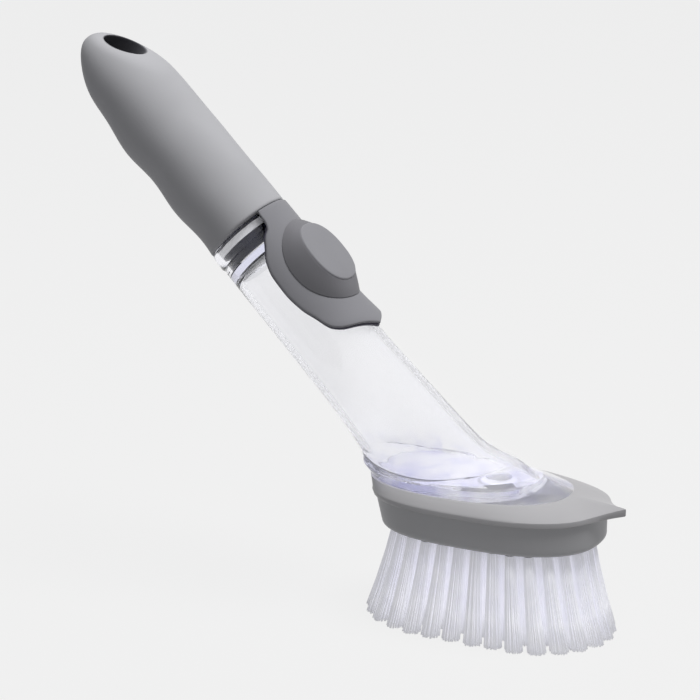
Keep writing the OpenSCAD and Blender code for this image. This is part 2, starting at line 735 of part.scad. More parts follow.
// The block: a wall with a rounded lower edge, a rim for the deck, and a backing with a soap outlet
function block_ring(z, inset, share) =
    [for (i = [0:head_sides - 1])
        let (p = head_point(i, block_front - inset, block_rear + heel_draft * share - inset,
                            head_half_w - inset))
        [p[0], p[1], z]];
slice_edge = head_half_w - side_inset;
tuft_front = block_front - front_inset - slice_edge;
tuft_rear = block_rear - heel_inset - slice_edge;
tuft_straight = (tuft_front + tuft_rear) / 2;
tuft_middle = (tuft_front - tuft_rear) / 2;
inner_floor = block_bottom + slice_t + backing_t;
funnel_r = spigot_r + fit_gap;
funnel_top = socket_low - fit_gap;
module brush_block()
    color(block_grey)
        difference() {
            union() {
                difference() {
                    union() {
                        loft([block_ring(block_bottom, block_round * 0.7, 0),
                              block_ring(block_bottom + block_round * 0.3, block_round * 0.28, 0),
                              block_ring(block_bottom + block_round, 0, 0.1),
                              block_ring(lip_bottom - fit_gap, 0, 1)]);
                        translate([0, 0, lip_bottom - rim_h])
                            linear_extrude(rim_h * 2)
                                head_outline(rim_step, 1);
                    }
                    translate([0, 0, inner_floor])
                        linear_extrude(wall_h * 2)
                            head_outline(rim_step + head_wall, 0.5);
                }
                translate([0, 0, inner_floor - join])
                    cylinder(h = funnel_top - inner_floor + join, r = funnel_r + socket_wall);
            }
            // Recess for the tufts' backing, round a middle island
            translate([tuft_middle, 0, block_bottom - join])
                linear_extrude(slice_t + fit_gap + join)
                    difference() {
                        stadium(tuft_straight + slice_edge + fit_gap, slice_edge + fit_gap);
                        stadium(tuft_straight + slice_hole - fit_gap, slice_hole - fit_gap);
                    }
            translate([0, 0, inner_floor + 1])
                cylinder(h = wall_h * 2, r = funnel_r);
            translate([0, 0, block_bottom - join])
                cylinder(h = wall_h, r = outlet_r);
        }

// Rings of tufts: a tuft's roots and tips lie on stadiums about the middle of the head
outer_ring = slice_edge - ring_inset;
middle_ring = outer_ring - ring_step;
inner_ring = middle_ring - ring_step;
function ring_point(share, r) =
    let (arc = PI * r, straight = 2 * tuft_straight, way = share * 2 * (arc + straight),
         half = way < arc + straight ? 1 : -1,
         left = half > 0 ? way : way - arc - straight,
         a = -90 + 180 * min(1, left / arc),
         along = max(0, left - arc))
    [tuft_middle + half * (tuft_straight - along + r * cos(a)), half * r * sin(a)];
// Outward direction at a share of the way round
function ring_normal(share) =
    let (p = ring_point(share, 1) - [tuft_middle, 0],
         q = [max(0, abs(p[0]) - tuft_straight) * sign(p[0]), p[1]])
    q / norm(q);
function across(share, r, v) = ring_point(share, r) + v * ring_normal(share);
function square_at(p, along, out, half, z) =
    [for (c = [[-1, -1], [1, -1], [1, 1], [-1, 1]])
        let (q = p + c[0] * half * along + c[1] * half * out)
        [q[0], q[1], z]];
columns = [-1, 0, 1];
rows = [-1, 1];
row_share = 0.6;
// Points of one strand: its root on the slice's lower face and its tip on the surface it stands on
function strand(centre, out, column, row) =
    let (along = [-out[1], out[0]],
         root = centre + column * root_r * along + row * root_r * row_share * out,
         middle = [centre[0] * splay_l, centre[1] * splay_w],
         tip = middle + column * tip_r * along + row * tip_r * row_share * out)
    concat(square_at(root, along, out, strand_r, block_bottom), square_at(tip, along, out, strand_tip_r, 0));
function quad(a, b, c, d) = [[a, b, c], [a, c, d]];
// A ring of tufts fused to its slice of the backing: the slice's lower face has a cell for each strand
module tuft_ring(tufts, r, outer_edge, inner_edge) {
    length = 2 * (PI * r + 2 * tuft_straight);
    column_edge = root_r / 2;
    lines = [for (i = [0:tufts - 1]) each
        [i / tufts, (i + 0.5) / tufts - column_edge / length, (i + 0.5) / tufts + column_edge / length]];
    count = len(lines);
    slice_points = [for (u = lines) each
        concat([for (v = [inner_edge - r, 0, outer_edge - r])
                   let (q = across(u, r, v)) [q[0], q[1], block_bottom]],
               [for (v = [inner_edge - r, outer_edge - r])
                   let (q = across(u, r, v)) [q[0], q[1], block_bottom + slice_t]])];
    strand_points = [for (i = [0:tufts - 1], column = columns, row = rows)
        let (u = (i + 0.5) / tufts)
        each strand(ring_point(u, r), ring_normal(u), column, row)];
    first = count * 5;
    slice_faces = [for (j = [0:count - 1])
        let (a = 5 * j, b = 5 * ((j + 1) % count))
        each concat(quad(a + 3, b + 3, b + 4, a + 4), quad(a + 2, a + 4, b + 4, b + 2),
                    quad(b, b + 3, a + 3, a))];
    strand_faces = [for (j = [0:count - 1], k = [0, 1])
        let (a = 5 * j + k, b = 5 * ((j + 1) % count) + k, corners = [a, b, b + 1, a + 1],
             root = first + (j * 2 + k) * 8, tip = root + 4)
        each concat(
            [for (m = [0:3]) let (n = (m + 3) % 4)
                each concat(quad(corners[m], corners[n], root + n, root + m),
                            quad(tip + m, root + m, root + n, tip + n))],
            quad(tip, tip + 3, tip + 2, tip + 1))];
    color(bristle_white)
        polyhedron(concat(slice_points, strand_points), concat(slice_faces, strand_faces));
}
module bristles_outer()
    tuft_ring(outer_tufts, outer_ring, slice_edge, outer_ring - ring_step / 2);
module bristles_middle()
    tuft_ring(middle_tufts, middle_ring, middle_ring + ring_step / 2 - fit_gap, middle_ring - ring_step / 2);
module bristles_inner()
    tuft_ring(inner_tufts, inner_ring, inner_ring + ring_step / 2 - fit_gap, slice_hole);

grip_sleeve();
handle_core();
neck_seal();
reservoir();
reservoir_base();
outlet_valve();
valve_ring();
spigot_seal();
hinge_strap();
lid_cover();
lid_frame();
lid_plug();
lid_seal();
pump_button();
button_skirt();
head_deck();
brush_block();
bristles_outer();
bristles_middle();
bristles_inner();
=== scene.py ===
# Dish wand with a clear soap reservoir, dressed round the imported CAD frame.
# Lengths are in millimetres until a mesh is made, and the frame is the CAD's:
# +X towards the pointed tip, +Z up, the origin on the floor below the brush block.
import math
import random

import bpy
import bmesh
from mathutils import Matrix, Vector


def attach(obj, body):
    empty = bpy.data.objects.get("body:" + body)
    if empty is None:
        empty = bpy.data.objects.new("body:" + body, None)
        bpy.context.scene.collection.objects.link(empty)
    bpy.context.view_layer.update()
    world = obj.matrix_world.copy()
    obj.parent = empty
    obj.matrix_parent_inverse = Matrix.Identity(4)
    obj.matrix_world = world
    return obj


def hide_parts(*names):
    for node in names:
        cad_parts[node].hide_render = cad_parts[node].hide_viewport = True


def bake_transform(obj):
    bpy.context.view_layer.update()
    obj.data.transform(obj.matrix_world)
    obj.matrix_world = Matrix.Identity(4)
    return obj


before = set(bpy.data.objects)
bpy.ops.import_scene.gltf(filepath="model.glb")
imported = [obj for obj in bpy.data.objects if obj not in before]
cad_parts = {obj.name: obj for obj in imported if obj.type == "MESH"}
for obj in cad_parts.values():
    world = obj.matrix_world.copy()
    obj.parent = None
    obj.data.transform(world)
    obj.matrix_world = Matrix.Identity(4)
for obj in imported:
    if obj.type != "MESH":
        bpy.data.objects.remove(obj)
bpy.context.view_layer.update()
MM = 0.001

# The wand's frame: its axis leans back over the head, and "up" is towards the lid
LEAN = math.radians(45)
AXIS_BACK = 20.3
SEAT_Z = 50.0
FIT_GAP = 0.1
RUN_GAP = 0.4

# Grip
GRIP_START = 112.8
GRIP_LENGTH = 91.8
GRIP_HALF_W = 16.3
GRIP_TOP = 17.9
GRIP_BOTTOM = 15.2
FINGER_WAVE = 1.3
WAVE_PITCH = 28.0
CREST_OFFSET = 21.2
END_ROUND = 44.6
END_SLOPE = math.radians(25.5)
HANG_R = 7.2
HANG_INSET = 12.1
HANG_FACE = 10.8
CORE_R = 11.6
CORE_LENGTH = 62.0

# Reservoir
TUBE_R_LOW = 16.0
TUBE_R_HIGH = 14.8
TUBE_WALL = 2.1
COLLAR_LENGTH = 9.8
PORT_HALF_W = 10.6
PORT_HALF_L = 14.6
FLARE_AT = 36.0
FLARE_END = 50.0
FLARE_EXTRA = 0.5
CAVITY_ROUND = 3.0

# Foot
FOOT_TOE = 26.3
FOOT_HEEL = 46.5
FOOT_HALF_W = 22.3
FOOT_POWER = 2.3
TOE_POWER = 1.5
FOOT_WALL = 2.4
BAND_H = 4.8
HEEL_FLANGE = 3.5
TOE_SETBACK = 12.3
SHOULDER_H = 9.6
BASE_T = 2.3
SPIGOT_R = 9.0

# Lid and button
TAB_TIP = 55.5
LID_BACK = 106.4
BUTTON_AT = 86.8
PORT_AT = 86.2
FRAME_T = 1.1
SKIN_T = 1.2
TAB_LIFT = 1.2
TAB_RISE = 15.0
TAB_BACK = TAB_TIP + 16
PAD_HALF_L = 12.5
PAD_HALF_W = 10.9
PAD_TOP = 21.3
PAD_POWER = 2.3
HOLE_GAP = 0.7

# Brush head
BLOCK_FRONT = 38.3
BLOCK_REAR = 40.9
HEAD_HALF_W = 26.0
FRONT_POWER = 2.4
REAR_POWER = 2.84
BRISTLE_L = 33.5
WALL_H = 11.0
HEEL_DRAFT = 2.6
LIP_OUT = 0.9
LIP_H = 2.2
RIM_H = 1.2
TIP_OUT = 7.6
TIP_RISE = 1.6
TIP_HALF_W = 12.0
HEAD_WALL = 2.4

TUBE_SIDES = 144


# Points and curves

def wand_point(up, side, along):
    """A point given by its height towards the lid, its place across and its place along the axis."""
    return (-AXIS_BACK - along * math.cos(LEAN) + up * math.sin(LEAN), side,
            SEAT_Z + along * math.sin(LEAN) + up * math.cos(LEAN))


def between(a, b, share):
    return tuple(p + (q - p) * share for p, q in zip(a, b))


def signed_power(value, power):
    return math.copysign(abs(value) ** power, value)


def se_point(angle, half_x, half_y, power):
    """Point of a superellipse; a power of 2 makes it an ellipse."""
    x = half_x * signed_power(math.cos(angle), 2 / power)
    return (x, half_y * signed_power(math.sin(angle), 2 / power))


def turns(count):
    return [2 * math.pi * i / count for i in range(count)]


def smooth_steps(keys, steps):
    """Rows between rows of numbers, on a curve through all of them."""
    rows = []
    for k in range(len(keys) - 1):
        before = keys[max(0, k - 1)]
        a, b = keys[k], keys[k + 1]
        after = keys[min(len(keys) - 1, k + 2)]
        for j in range(steps):
            t = j / steps
            rows.append(tuple(
                0.5 * (2 * q + (r - p) * t + (2 * p - 5 * q + 4 * r - s) * t ** 2
                       + (3 * q - p - 3 * r + s) * t ** 3)
                for p, q, r, s in zip(before, a, b, after)))
    rows.append(tuple(keys[-1]))
    return rows


def curve_value(table, x):
    """Value at x on a monotone curve through (x, value) pairs."""
    if x <= table[0][0]:
        return table[0][1]
    if x >= table[-1][0]:
        return table[-1][1]
    k = next(i for i in range(len(table) - 1) if table[i + 1][0] >= x)

    def slope(i):
        if i <= 0 or i >= len(table) - 1:
            return 0.0 if i >= len(table) - 1 else (table[1][1] - table[0][1]) / (table[1][0] - table[0][0])
        left = (table[i][1] - table[i - 1][1]) / (table[i][0] - table[i - 1][0])
        right = (table[i + 1][1] - table[i][1]) / (table[i + 1][0] - table[i][0])
        return 0.0 if left * right <= 0 else 2 * left * right / (left + right)

    (x0, y0), (x1, y1) = table[k], table[k + 1]
    h = x1 - x0
    t = (x - x0) / h
    return (y0 * (1 + 2 * t) * (1 - t) ** 2 + slope(k) * h * t * (1 - t) ** 2
            + y1 * t ** 2 * (3 - 2 * t) + slope(k + 1) * h * t ** 2 * (t - 1))


# Meshes

def make_object(name, points, faces, sharp=35):
    """A closed, smooth-shaded mesh in metres; edges sharper than the angle stay crisp."""
    mesh = bpy.data.meshes.new(name)
    mesh.from_pydata([Vector(p) * MM for p in points], [], faces)
    obj = bpy.data.objects.new(name, mesh)
    bpy.context.scene.collection.objects.link(obj)
    finish_mesh(obj, sharp)
    return obj


def finish_mesh(obj, sharp=35):
    bm = bmesh.new()
    bm.from_mesh(obj.data)
    bmesh.ops.remove_doubles(bm, verts=bm.verts, dist=0.002 * MM)
    bmesh.ops.dissolve_degenerate(bm, edges=bm.edges, dist=0.001 * MM)
    bmesh.ops.recalc_face_normals(bm, faces=bm.faces)
    limit = math.radians(sharp)
    for face in bm.faces:
        face.smooth = True
    for edge in bm.edges:
        edge.smooth = edge.is_manifold and edge.calc_face_angle(0) < limit
    bm.to_mesh(obj.data)
    bm.free()
    obj.data.update()


def loft_faces(rings, count, looped):
    faces = []
    for k in range(rings if looped else rings - 1):
        low = k * count
        high = ((k + 1) % rings) * count
        for i in range(count):
            j = (i + 1) % count
            faces.append((low + i, low + j, high + j, high + i))
    return faces


def loft(name, rings, looped=False, sharp=35):
    """Skin through closed rings of as many points each; without a loop its ends are closed by fans."""
    count = len(rings[0])
    points = [p for ring in rings for p in ring]
    faces = loft_faces(len(rings), count, looped)
    if not looped:
        for first, ring in ((0, rings[0]), ((len(rings) - 1) * count, rings[-1])):
            centre = tuple(sum(p[axis] for p in ring) / count for axis in range(3))
            points.append(centre)
            for i in range(count):
                faces.append((first + i, first + (i + 1) % count, len(points) - 1))
    return make_object(name, points, faces, sharp)


def cut(obj, cutter, sharp=35):
    """Takes the cutter's volume out of the object."""
    modifier = obj.modifiers.new("cut", "BOOLEAN")
    modifier.operation = "DIFFERENCE"
    modifier.solver = "EXACT"
    modifier.object = cutter
    bpy.context.view_layer.update()
    depsgraph = bpy.context.evaluated_depsgraph_get()
    mesh = bpy.data.meshes.new_from_object(obj.evaluated_get(depsgraph))
    obj.modifiers.clear()
    obj.data = mesh
    bpy.data.objects.remove(cutter)
    finish_mesh(obj, sharp)


def join(name, objects):
    """One object holding the meshes of several."""
    mesh = bpy.data.meshes.new(name)
    bm = bmesh.new()
    for obj in objects:
        bm.from_mesh(obj.data)
        bpy.data.objects.remove(obj)
    bm.to_mesh(mesh)
    bm.free()
    whole = bpy.data.objects.new(name, mesh)
    bpy.context.scene.collection.objects.link(whole)
    return whole


# Materials

def node_material(name):
    material = bpy.data.materials.new(name)
    material.use_nodes = True
    shader = material.node_tree.nodes["Principled BSDF"]
    return material, material.node_tree, shader


def noise(tree, scale, detail=3.0, distortion=0.0):
    coordinates = tree.nodes.new("ShaderNodeTexCoord")
    texture = tree.nodes.new("ShaderNodeTexNoise")
    texture.inputs["Scale"].default_value = scale
    texture.inputs["Detail"].default_value = detail
    texture.inputs["Distortion"].default_value = distortion
    tree.links.new(coordinates.outputs["Object"], texture.inputs["Vector"])
    return texture.outputs["Fac"]


def ramp(tree, factor, low, high, start=0.3, end=0.7):
    """Colours from low to high as the factor goes from start to end."""
    node = tree.nodes.new("ShaderNodeValToRGB")
    node.color_ramp.elements[0].position = start
    node.color_ramp.elements[0].color = (*low, 1)
    node.color_ramp.elements[1].position = end
    node.color_ramp.elements[1].color = (*high, 1)
    tree.links.new(factor, node.inputs["Fac"])
    return node.outputs["Color"]


def remap(tree, factor, low, high):
    node = tree.nodes.new("ShaderNodeMapRange")
    node.inputs["To Min"].default_value = low
    node.inputs["To Max"].default_value = high
    tree.links.new(factor, node.inputs["Value"])
    return node.outputs["Result"]


def bump(tree, shader, height, strength, distance):
    node = tree.nodes.new("ShaderNodeBump")
    node.inputs["Strength"].default_value = strength
    node.inputs["Distance"].default_value = distance
    tree.links.new(height, node.inputs["Height"])
    tree.links.new(node.outputs["Normal"], shader.inputs["Normal"])


def moulded(name, colour, spread, roughness, grain_scale, grain_depth, specular=0.5, sheen=0.0):
    """Moulded plastic or rubber: a faint cloudiness, a fine grain and roughness that follows it."""
    material, tree, shader = node_material(name)
    clouds = noise(tree, 45, 2.0, 0.4)
    grain = noise(tree, grain_scale, 4.0)
    low = tuple(c * (1 - spread) for c in colour)
    high = tuple(c * (1 + spread) for c in colour)
    tree.links.new(ramp(tree, clouds, low, high), shader.inputs["Base Color"])
    tree.links.new(remap(tree, grain, roughness - 0.06, roughness + 0.06), shader.inputs["Roughness"])
    shader.inputs["Specular IOR Level"].default_value = specular
    shader.inputs["Sheen Weight"].default_value = sheen
    shader.inputs["Sheen Roughness"].default_value = 0.5
    bump(tree, shader, grain, 0.35, grain_depth)
    return material


def grip_material():
    """The grip's soft rubber, with painted shade: near-black inside the hang hole."""
    material = moulded("grip_rubber", (0.40, 0.40, 0.415), 0.03, 0.62, 2600, 0.00006, 0.35, 0.05)
    tree = material.node_tree
    shader = tree.nodes["Principled BSDF"]
    coordinates = tree.nodes.new("ShaderNodeTexCoord")
    offset = tree.nodes.new("ShaderNodeVectorMath")
    offset.operation = "SUBTRACT"
    hole = wand_point(0, 0, GRIP_START + GRIP_LENGTH - HANG_INSET)
    offset.inputs[1].default_value = [c * MM for c in hole]
    tree.links.new(coordinates.outputs["Object"], offset.inputs[0])
    # Distance from the hole's axis, which runs in the lid's direction
    across = tree.nodes.new("ShaderNodeVectorMath")
    across.operation = "CROSS_PRODUCT"
    across.inputs[1].default_value = (math.sin(LEAN), 0, math.cos(LEAN))
    tree.links.new(offset.outputs["Vector"], across.inputs[0])
    distance = tree.nodes.new("ShaderNodeVectorMath")
    distance.operation = "LENGTH"
    tree.links.new(across.outputs["Vector"], distance.inputs[0])
    # Painted shade: within the hang hole's radius of its axis the rubber is painted near-black
    rim = tree.nodes.new("ShaderNodeMapRange")
    rim.inputs["From Min"].default_value = (HANG_R + 0.1) * MM
    rim.inputs["From Max"].default_value = (HANG_R + 0.7) * MM
    tree.links.new(distance.outputs["Value"], rim.inputs["Value"])
    outside = shader.inputs["Base Color"].links[0].from_socket
    mix = tree.nodes.new("ShaderNodeMix")
    mix.data_type = "RGBA"
    mix.inputs["A"].default_value = (0.075, 0.075, 0.085, 1)
    tree.links.new(rim.outputs["Result"], mix.inputs["Factor"])
    tree.links.new(outside, mix.inputs["B"])
    tree.links.new(mix.outputs["Result"], shader.inputs["Base Color"])
    return material


def clear_plastic(name, tint, density, roughness, foot_clarity):
    """Clear plastic: polished, faintly lilac through its thickness, and open to the lamps' light."""
    material, tree, shader = node_material(name)
    shader.inputs["IOR"].default_value = 1.4
    # A faint haze: strongest in the thick foot, fainter in the tube and none in the collar
    place_of = tree.nodes.new("ShaderNodeTexCoord")
    split = tree.nodes.new("ShaderNodeSeparateXYZ")
    tree.links.new(place_of.outputs["Object"], split.inputs["Vector"])
    height = tree.nodes.new("ShaderNodeMapRange")
    height.inputs["From Min"].default_value = SEAT_Z * MM
    height.inputs["From Max"].default_value = (SEAT_Z + 80) * MM
    tree.links.new(split.outputs["Z"], height.inputs["Value"])
    clarity = tree.nodes.new("ShaderNodeFloatCurve")
    curve = clarity.mapping.curves[0]
    curve.points[0].location = (0, foot_clarity)
    curve.points[1].location = (1, 1)
    for place_up, value in ((0.1, foot_clarity), (0.22, 0.93), (0.76, 0.97), (0.9, 1.0)):
        curve.points.new(place_up, value)
    for point in curve.points:
        point.handle_type = "VECTOR"
    clarity.mapping.update()
    tree.links.new(height.outputs["Result"], clarity.inputs["Value"])
    # Lilac clouds in the foot, fading out up the tube
    clouds = ramp(tree, noise(tree, 90, 2.0, 1.2), (0.86, 0.86, 0.96), (1, 1, 1), 0.36, 0.54)
    fade = tree.nodes.new("ShaderNodeMapRange")
    fade.inputs["From Min"].default_value = 0.06
    fade.inputs["From Max"].default_value = 0.14
    tree.links.new(height.outputs["Result"], fade.inputs["Value"])
    tint_mix = tree.nodes.new("ShaderNodeMix")
    tint_mix.data_type = "RGBA"
    tint_mix.inputs["B"].default_value = (1, 1, 1, 1)
    tree.links.new(fade.outputs["Result"], tint_mix.inputs["Factor"])
    tree.links.new(clouds, tint_mix.inputs["A"])
    tree.links.new(tint_mix.outputs["Result"], shader.inputs["Base Color"])
    tree.links.new(clarity.outputs["Value"], shader.inputs["Transmission Weight"])
    flow = noise(tree, 60, 2.0, 0.6)
    tree.links.new(remap(tree, flow, roughness, roughness + 0.02), shader.inputs["Roughness"])
    output = tree.nodes["Material Output"]
    path = tree.nodes.new("ShaderNodeLightPath")
    open_shader = tree.nodes.new("ShaderNodeBsdfTransparent")
    open_shader.inputs["Color"].default_value = (0.97, 0.97, 0.985, 1)
    mix = tree.nodes.new("ShaderNodeMixShader")
    tree.links.new(path.outputs["Is Shadow Ray"], mix.inputs["Fac"])
    tree.links.new(shader.outputs["BSDF"], mix.inputs[1])
    tree.links.new(open_shader.outputs["BSDF"], mix.inputs[2])
    tree.links.new(mix.outputs["Shader"], output.inputs["Surface"])
    absorption = tree.nodes.new("ShaderNodeVolumeAbsorption")
    absorption.inputs["Color"].default_value = (*tint, 1)
    absorption.inputs["Density"].default_value = density
    tree.links.new(absorption.outputs["Volume"], output.inputs["Volume"])
    return material


def bristle_material():
    """Nylon filaments: white with a lilac cast that varies from tuft to tuft and darkens at the roots."""
    material, tree, shader = node_material("bristle_nylon")
    coordinates = tree.nodes.new("ShaderNodeTexCoord")
    split = tree.nodes.new("ShaderNodeSeparateXYZ")
    tree.links.new(coordinates.outputs["Object"], split.inputs["Vector"])
    height = tree.nodes.new("ShaderNodeMapRange")
    height.inputs["From Min"].default_value = 0.0
    height.inputs["From Max"].default_value = BRISTLE_L * MM
    tree.links.new(split.outputs["Z"], height.inputs["Value"])
    body = ramp(tree, height.outputs["Result"], (0.88, 0.88, 0.90), (0.82, 0.82, 0.87), 0.1, 1.0)
    tuft = ramp(tree, noise(tree, 180, 2.0), (0.92, 0.92, 0.95), (1, 1, 1), 0.35, 0.65)
    mix = tree.nodes.new("ShaderNodeMix")
    mix.data_type = "RGBA"
    mix.blend_type = "MULTIPLY"
    mix.inputs["Factor"].default_value = 1.0
    tree.links.new(body, mix.inputs["A"])
    tree.links.new(tuft, mix.inputs["B"])
    tree.links.new(mix.outputs["Result"], shader.inputs["Base Color"])
    tree.links.new(remap(tree, noise(tree, 900), 0.3, 0.5), shader.inputs["Roughness"])
    # Painted light: a faint white glow stands in for light scattered through the filaments
    shader.inputs["Emission Color"].default_value = (0.95, 0.95, 1.0, 1)
    shader.inputs["Emission Strength"].default_value = 0.26
    return material


GRIP_RUBBER = grip_material()
LID_RUBBER = moulded("lid_rubber", (0.225, 0.224, 0.24), 0.03, 0.52, 2400, 0.00004, 0.4, 0.03)
BUTTON_RUBBER = moulded("button_rubber", (0.235, 0.234, 0.25), 0.03, 0.5, 2400, 0.00004, 0.4, 0.03)
# Painted shade: the button's conical wall takes a darker copy of the button's rubber, standing in for the
# shade on its sides
BUTTON_RUBBER_PAINTED_SHADE = moulded("button_rubber_painted_shade", (0.17, 0.168, 0.18), 0.03, 0.55, 2400, 0.00004, 0.35, 0.03)
FRAME_PLASTIC = moulded("frame_plastic", (0.06, 0.055, 0.085), 0.04, 0.42, 1800, 0.00003)
CORE_PLASTIC = moulded("core_plastic", (0.014, 0.015, 0.032), 0.05, 0.4, 1800, 0.00003, 0.15)
DECK_PLASTIC = moulded("deck_plastic", (0.40, 0.395, 0.405), 0.025, 0.4, 1500, 0.00003, 0.5)
BLOCK_PLASTIC = moulded("block_plastic", (0.40, 0.40, 0.41), 0.025, 0.45, 1500, 0.00003, 0.5)
SILICONE = moulded("white_silicone", (0.86, 0.86, 0.87), 0.02, 0.4, 1600, 0.00003)
CLEAR = clear_plastic("clear_plastic", (0.76, 0.77, 0.92), 40, 0.01, 0.88)
CLOUDY = clear_plastic("cloudy_plastic", (0.84, 0.84, 0.95), 60, 0.1, 0.62)
BRISTLE = bristle_material()


def dress(obj, material):
    obj.data.materials.clear()
    obj.data.materials.append(material)
    return obj


def place(obj, material, slot, body, *nodes):
    """Gives a piece its material, its body and the CAD nodes that it stands for; the slot is not used."""
    dress(obj, material)
    if body:
        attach(obj, body)
    if nodes:
        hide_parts(*nodes)
    return obj


# Grip

GRIP_END = GRIP_START + GRIP_LENGTH
HANG_AT = GRIP_END - HANG_INSET
# Rounding of the front edge, of the bore's mouth, of the sloped face's border and of the hole's rim
GRIP_EDGE = 1.0
BORE_BEVEL = 0.4
FACE_ROUND = 3.0
HANG_RIM = 0.9
# How far a cutter stands out of what it cuts
CUT_REACH = 30.0


def end_share(s, power):
    return 1 - (max(0.0, s - GRIP_END + END_ROUND) / END_ROUND) ** power


def soft_min(a, b, width):
    """The smaller of two values, with a rounded change-over."""
    h = max(0.0, 1 - abs(a - b) / width)
    return min(a, b) - h * h * width / 4


def grip_section(s):
    """The grip's height above and below its axis and its half width, at a place along it."""
    turn = 2 * math.pi * (s - GRIP_START - CREST_OFFSET) / WAVE_PITCH
    wave = FINGER_WAVE * (0.5 - 0.5 * math.cos(turn))
    crown = math.sqrt(max(0, end_share(s, 3)))
    low = (GRIP_BOTTOM - wave) * max(0, end_share(s, 2.2)) ** 0.6
    return GRIP_TOP * crown, low, GRIP_HALF_W * crown


def end_face(s):
    """Height of the sloped face at the grip's end."""
    return HANG_FACE - (s - HANG_AT) * math.tan(END_SLOPE)


def grip_ring(s, inset, sides=TUBE_SIDES):
    top, low, half = (size - inset for size in grip_section(s))
    points = []
    for a in turns(sides):
        up = (top - low) / 2 + (top + low) / 2 * math.cos(a)
        points.append(wand_point(soft_min(up, end_face(s), FACE_ROUND), half * math.sin(a), s))
    return points


def grip_depth(s, side):
    """Depth of the grip's underside below the axis, at a place along and across it."""
    top, low, half = grip_section(s)
    across = math.sqrt(max(0.0, 1 - (side / half) ** 2))
    return -((top - low) / 2 - (top + low) / 2 * across)


def hang_hole_cutter():
    """The hang hole with a rounded rim on both sides."""
    profile = [(-CUT_REACH, HANG_RIM * 3), (-HANG_RIM * 0.2, HANG_RIM * 0.78)]
    for degrees in (40, 60, 75, 90):
        turn = math.radians(degrees)
        profile.append((HANG_RIM * (1 - math.cos(turn)), HANG_RIM * (1 - math.sin(turn))))
    rings = []
    for low_side in (False, True):
        rows = []
        for depth, out in profile:
            ring = []
            for a in turns(96):
                s = HANG_AT + HANG_R * math.cos(a)
                height = end_face(s) - depth
                if low_side:
                    height = -grip_depth(s, HANG_R * math.sin(a)) + depth
                r = HANG_R + out
                ring.append(wand_point(height, r * math.sin(a), HANG_AT + r * math.cos(a)))
            rows.append(ring)
        rings += rows[::-1] if low_side else rows
    return loft("hole_cutter", rings)


def grip():
    """The sleeve, from its bore over the rounded front edge to the sloped end."""
    bore = CORE_R + FIT_GAP
    rings = [ring_about_axis(bore, GRIP_START + CORE_LENGTH),
             ring_about_axis(bore, GRIP_START + BORE_BEVEL),
             ring_about_axis(bore + BORE_BEVEL, GRIP_START)]
    for degrees in range(90, -1, -15):
        turn = math.radians(degrees)
        rings.append(grip_ring(GRIP_START + GRIP_EDGE * (1 - math.sin(turn)),
                               GRIP_EDGE * (1 - math.cos(turn))))
    straight = GRIP_LENGTH - END_ROUND - GRIP_EDGE
    count = 56
    rings += [grip_ring(GRIP_START + GRIP_EDGE + straight * i / count, 0) for i in range(1, count + 1)]
    for k in range(1, 71):
        share = math.sin(math.radians(1.25 * k))
        rings.append(grip_ring(GRIP_END - END_ROUND + END_ROUND * share, 0))
    rings.append(grip_ring(GRIP_END - 0.002, 0))
    body = loft("grip", rings, sharp=50)
    cut(body, hang_hole_cutter(), sharp=40)
    return body


def ring_about_axis(r, s, sides=TUBE_SIDES):
    return [wand_point(r * math.cos(a), r * math.sin(a), s) for a in turns(sides)]


# Reservoir

def tube_r(s):
    return TUBE_R_LOW + (TUBE_R_HIGH - TUBE_R_LOW) * s / GRIP_START


def tilted_ring(front, rear, half_w, toe, heel, drop=0.0, sides=TUBE_SIDES):
    """Ring in a tilted plane, from its front point (x, z) to its rear point, dropping at its sides."""
    mid = between(front, rear, 0.5)
    reach = ((front[0] - rear[0]) / 2, (front[1] - rear[1]) / 2)
    points = []
    for a in turns(sides):
        p = se_point(a, 1, 1, toe if math.cos(a) > 0 else heel)
        points.append((mid[0] + reach[0] * p[0], half_w * p[1], mid[1] + reach[1] * p[0] - drop * p[1] ** 2))
    return points


def mid_point(along, up):
    """(x, z) of a point in the wand's middle plane."""
    x, _, z = wand_point(up, 0, along)
    return (x, z)


BAND_TOP = SEAT_Z + BAND_H
HEEL_LINE = BAND_TOP - 0.4
BAND_FRONT = (FOOT_TOE - TOE_SETBACK, BAND_TOP + 0.4)
SHOULDER_FRONT = (BAND_FRONT[0] - TOE_SETBACK * 0.9, SEAT_Z + SHOULDER_H)
HEEL_TOP = (-FOOT_HEEL - HEEL_FLANGE, HEEL_LINE)
BLEND_FRONT = mid_point(5, TUBE_R_LOW + 2.3)
BLEND_REAR = mid_point(30, -tube_r(30) - 1.2)


def foot_key(front, rear, half_w, toe, heel, drop, inset):
    """A ring of the foot, drawn in at right angles to its sloped front and rear."""
    return (front[0] - inset * 0.5, front[1] - inset * 0.87, rear[0] + inset * 0.75, rear[1] + inset * 0.66,
            half_w - inset, toe, heel, drop)


def tube_key(s, r):
    """A round ring of the tube."""
    return (*mid_point(s, r), *mid_point(s, -r), r, 2, 2, 0)


